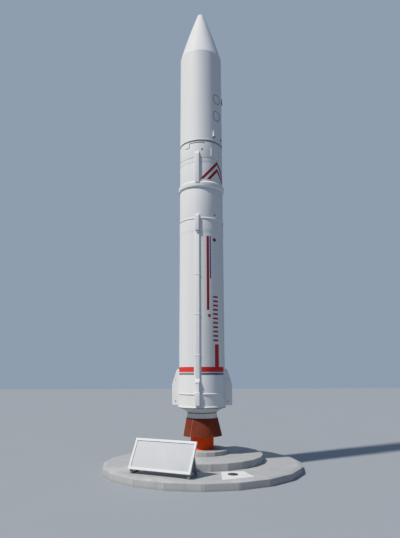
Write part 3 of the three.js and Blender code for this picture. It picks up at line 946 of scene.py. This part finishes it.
# Corners of an oblong with cut corners on the skin, in degrees and metres
def eightSided(azimuth, height, halfTurn, halfHeight, cutTurn, cutHeight):
    a, h, p, q = halfTurn, halfHeight, cutTurn, cutHeight
    below = [(-a, -h + q), (-a + p, -h), (a - p, -h), (a, -h + q)]
    above = [(-x, -y) for x, y in below]
    return [(azimuth + x, height + y) for x, y in below + above]


# Access doors: a seal round each and screws inside it. A place is a height and a half height
doors = {
    "radius": 0.418, "azimuth": 48.2, "places": ((6.99, 0.095), (6.625, 0.097)), "halfTurn": 12.2,
    "cut": (5.5, 0.045), "bead": 0.005, "screwsIn": (1.8, 0.014), "innerCut": 0.8,
    "screwSize": (0.003, 0.002),
}


def addDoors():
    s = doors
    innerCut = [size * s["innerCut"] for size in s["cut"]]
    turnIn, heightIn = s["screwsIn"]
    lines, points = [], []
    for height, halfHeight in s["places"]:
        for azimuth in bothSides(s["azimuth"]):
            corners = eightSided(azimuth, height, s["halfTurn"], halfHeight, *s["cut"])
            lines.append(skinLine(corners, s["radius"], True))
            inner = eightSided(azimuth, height, s["halfTurn"] - turnIn, halfHeight - heightIn, *innerCut)
            points += [facingOut(s["radius"], *place) for place in inner]
    addBeads("fairingDoorSeals", lines, True, s["bead"], paints["darkPaint"])
    addStuds("fairingDoorScrews", points, plainWhite, *s["screwSize"])


addDoors()

# A seal in the interstage joint, and dark rings all round that paint shade into the fairing's gap, the
# throat's groove and the closure's rim: radius, height, bead and paint
sealsAndShadeRings = {
    "fairingGapShade": (0.4035, 6.041, 0.0135, "sealAndShadePaint"),
    "interstageSeal": (0.4122, 5.692, 0.0033, "sealAndShadePaint"),
    "closureGapShade": (0.4195, 1.0465, 0.006, "darkPaint"),
    "throatGrooveShade": (0.2585, 0.9575, 0.0065, "darkPaint"),
}
for name, (radius, height, bead, paintName) in sealsAndShadeRings.items():
    addBeads(name, [ringLine(radius, height, 120)], True, bead, paints[paintName], sides=12)

# The seam of a hatch under the fairing, as (azimuth, height) corners
hatch = ((9.0, 6.010), (-31.0, 6.004), (-33.3, 5.996), (-33.3, 5.922), (-34.5, 5.914), (-47.7, 5.914))
hatchBead = 0.006
hatches = [[(azimuth + turn, height) for azimuth, height in hatch] for turn in bothSides(0)]
hatchLines = [skinLine(corners, bodyRadius, False) for corners in hatches]
addBeads("hatchSeam", hatchLines, False, hatchBead, paints["darkPaint"])

# Weld lines: the nozzle's lap, which runs down and round, and the pipe's foot
lap = {"margin": 0.002, "proud": 0.001, "azimuth": -34.5, "sweep": -4.5, "steps": 24, "bead": 0.0045}


def lapPoint(t):
    height = bellTop - lap["margin"] - (bellTop - bellExit - 2 * lap["margin"]) * t
    radius = aft["nozzleTop"] + (aft["nozzleExit"] - aft["nozzleTop"]) * t + lap["proud"]
    return polar(radius, lap["azimuth"] + lap["sweep"] * t, height) + Vector((bellShift(height), 0, 0))


lapLine = [lapPoint(i / lap["steps"]) for i in range(lap["steps"] + 1)]
# the lap's bead is painted lighter than the nozzle: a seam that is partly a painted highlight
addBeads("nozzleLap", [lapLine], False, lap["bead"], paints["seamHighlightPaint"], "nozzle_paint")
pipeWeld = {"bead": 0.007, "lift": 0.001, "steps": 90}
pipeFoot = ringLine(aft["pipe"], span("plinth_block")[1] + pipeWeld["lift"], pipeWeld["steps"])
addBeads("pipeFootWeld", [pipeFoot], True, pipeWeld["bead"], paints["pipePaint"], "pipe_paint")


# Small blocks with rounded edges standing on the skin at (azimuth, height) places
def addBlocks(name, places, inner, outer, halfWidth, halfHeight, bevel, material, slotName):
    bm = bmesh.new()
    for azimuth, height in places:
        corners = []
        for z in (height - halfHeight, height + halfHeight):
            for radius, across in ((inner, -1), (outer, -1), (outer, 1), (inner, 1)):
                corners.append(bm.verts.new(polar(radius, azimuth, z, across * halfWidth)))
        for face in ((0, 1, 2, 3), (4, 7, 6, 5), (0, 4, 5, 1), (1, 5, 6, 2), (2, 6, 7, 3), (3, 7, 4, 0)):
            bm.faces.new([corners[i] for i in face])
    bmesh.ops.recalc_face_normals(bm, faces=bm.faces)
    bevelEdges(bm, bm.edges, bevel, 2)
    finishPiece(name, bm, material, slotName)


# Clamps over the long ducts, a gland under each box, a dark block under the bracket's foot that is painted
# shade, and the flange's latches: places, inner and outer radius, half width, half height, bevel, material
# and slot
grey = (paints["greyPaint"], "grey_paint")
white = (plainWhite, "white_paint")
strapPlaces = [(azimuth, height) for azimuth in bothSides(ductAzimuth) for height in (1.957, 2.681, 3.411)]
glandPlaces = [(azimuth, 4.208) for azimuth in bothSides(ductAzimuth + 1)]
latchPlaces = [(azimuth, 5.15) for azimuth in bothSides(8.6)]
blocks = {
    "ductStraps": (strapPlaces, 0.405, 0.4412, 0.0425, 0.013, 0.0012, *white),
    "ductStrapFeet": (strapPlaces, 0.405, 0.4195, 0.062, 0.013, 0.0012, *white),
    "cableGlands": (glandPlaces, 0.43, 0.4525, 0.017, 0.0235, 0.004, *grey),
    "bracketFootShade": ([(36.0, 6.150)], 0.41, 0.446, 0.023, 0.008, 0.002, paints["darkPaint"], "white_paint"),
    "flangeLatch": (latchPlaces, 0.43, 0.4455, 0.004, 0.024, 0.001, *grey),
}
for name, block in blocks.items():
    addBlocks(name, *block)
print("details made")

plinth = {"columnsPerSide": 28, "jointDepth": 0.006, "jointHalf": 0.25, "arris": 0.012, "soundFoot": 0.02}
chips = {
    "coarse": 9, "coarseShare": 0.6, "fine": 31, "fineShare": 0.5,
    "sound": 0.22, "down": 0.35, "depth": 0.006,
}


# How far a point on an arris is broken away
def chipAt(point):
    rough = noise.noise(point * chips["coarse"]) * chips["coarseShare"]
    rough += noise.noise(point * chips["fine"]) * chips["fineShare"]
    inward = Vector((-point.x, -point.y, -chips["down"] * point.to_2d().length)).normalized()
    return inward * max(rough - chips["sound"], 0) * chips["depth"]


# A many-sided tier with rounded, chipped edges and, where jointed, a joint line at each corner
def addTier(name, node, corners, sides, firstCorner, material, jointed):
    s = plinth
    side = 360 / sides
    low, high = corners[0][1], corners[-1][1]
    outline = rounded([(0, low, 0), *corners, (0, high, 0)], steps=3)
    arrises = set()
    for i, (point, following) in enumerate(zip(outline, outline[1:] + outline[:1])):
        if tiny < (following - point).length < s["arris"] and low + s["soundFoot"] < point.y:
            arrises.add(i)
    steps = s["columnsPerSide"]
    between = [side * (k + 0.5) / steps for k in range(1, steps - 1)]
    offsets = [0.0, s["jointHalf"], *between, side - s["jointHalf"]]
    spokes = []
    for k in range(sides):
        for offset in offsets:
            flat = math.cos(math.radians(side / 2)) / math.cos(math.radians(offset - side / 2))
            groove = s["jointDepth"] if jointed and offset == 0.0 else 0.0
            spokes.append((firstCorner + k * side + offset, flat, groove))

    def placeAt(i, k):
        azimuth, flat, groove = spokes[k]
        point = polar(outline[i][0] * flat - groove, azimuth, outline[i][1])
        return point + chipAt(point) if i in arrises else point

    finishPiece(name, sweep(outline, len(spokes), placeAt), material, "concrete", [node], 40)


# Corners from the foot up as (radius, height, fillet)
lower = [(1.738, 0.0, 0), (1.738, 0.106, 0.007), (1.665, 0.126, 0.006), (1.072, 0.143, 0)]
middle = [(1.072, 0.143, 0), (1.072, 0.26, 0.014), (0.472, 0.267, 0)]
block = [(0.472, 0.267, 0), (0.468, 0.338, 0.006)]
addTier("plinthLower", "plinth_lower", lower, 20, 0, deckConcrete, True)
addTier("plinthMiddle", "plinth_middle", middle, 24, 7.5, concrete, True)
addTier("plinthBlock", "plinth_block", block, 20, 9, concrete, False)
print("plinth cast")

# Piece name, width of its rounded edges, material and slot
grounds = {
    "inspection_cover": ("inspectionCover", 0.002, coverIron, "cover_iron"),
    "sign_rim": ("noticeRim", 0.003, paints["boardPaint"], "board_paint"),
    "sign_panel": ("noticePanel", 0.001, paints["panelPaint"], "board_paint"),
    "sign_stand_left": ("noticeStandLeft", 0.003, paints["standPaint"], "stand_steel"),
    "sign_stand_right": ("noticeStandRight", 0.003, paints["standPaint"], "stand_steel"),
}
for node, (name, width, material, slotName) in grounds.items():
    finishPiece(name, roundedNode(node, width), material, slotName, [node])
print("notice board and cover made")

# Floor, sky and sun
studio = {
    "floorSize": 90.0, "floorDrop": 0.0005, "floor": (0.27, 0.295, 0.32), "floorRoughness": 0.9,
    "sunAzimuth": -60.0, "sunHeight": 53.0, "sunPower": 4.0, "sunColour": (1.0, 0.93, 0.85), "sunAngle": 3.0,
    "horizon": (0.0, 0.03, 0.09), "zenith": (0.42, 0.53, 0.7), "backdrop": (0.27, 0.34, 0.43),
    "brightest": 1.6, "shoulder": ((0.62, 0.62), (0.75, 0.7), (0.9, 0.765), (1.05, 0.82), (1.25, 0.88)),
}


# Bright paint rolls off softly, as it does in a camera
def softenHighlights():
    view = scene.view_settings
    view.use_curve_mapping = True
    mapping = view.curve_mapping
    top = studio["brightest"]
    mapping.white_level = (top, top, top)
    curve = mapping.curves[3]
    for light, shown in studio["shoulder"]:
        curve.points.new(light / top, shown)
    for point in curve.points:
        point.handle_type = "VECTOR"
    mapping.update()


def addFloor():
    bm = bmesh.new()
    bmesh.ops.create_grid(bm, x_segments=1, y_segments=1, size=studio["floorSize"] / 2)
    bmesh.ops.translate(bm, verts=bm.verts, vec=(0, 0, -studio["floorDrop"]))
    mesh = bpy.data.meshes.new("floor")
    bm.to_mesh(mesh)
    bm.free()
    material, graph, shader, place = newMaterial("floor", {"Roughness": studio["floorRoughness"]})
    near = studio["floor"]
    far = tuple(channel * 1.05 for channel in near)
    graph.feed(shader.inputs["Base Color"], graph.mix(graph.noise(place, 0.6), near, far))
    mesh.materials.append(material)
    floor = newObject("floor", mesh)


def addSun():
    s = studio
    sunData = bpy.data.lights.new("sun", "SUN")
    sunData.energy = s["sunPower"]
    sunData.angle = math.radians(s["sunAngle"])
    sunData.color = s["sunColour"]
    sun = newObject("sun", sunData)
    height = math.radians(s["sunHeight"])
    towards = polar(math.cos(height), s["sunAzimuth"], math.sin(height))
    sun.matrix_world = towards.to_track_quat("Z", "Y").to_matrix().to_4x4()


# A sky that is brighter overhead, behind a plain backdrop
def addSky():
    world = bpy.data.worlds.new("sky")
    world.use_nodes = True
    scene.world = world
    sky = Graph(world.node_tree)
    background = world.node_tree.nodes["Background"]
    seen = sky.node("ShaderNodeLightPath", {}, {}, "Is Camera Ray")
    direction = sky.node("ShaderNodeTexCoord", {}, {}, "Generated")
    up = sky.part(direction, "Z").math("MAXIMUM", 0.0)
    glow = sky.mix(up * up, studio["horizon"], studio["zenith"])
    sky.feed(background.inputs["Color"], sky.mix(seen, glow, studio["backdrop"]))


addFloor()
addSun()
addSky()
softenHighlights()
print("studio lit")
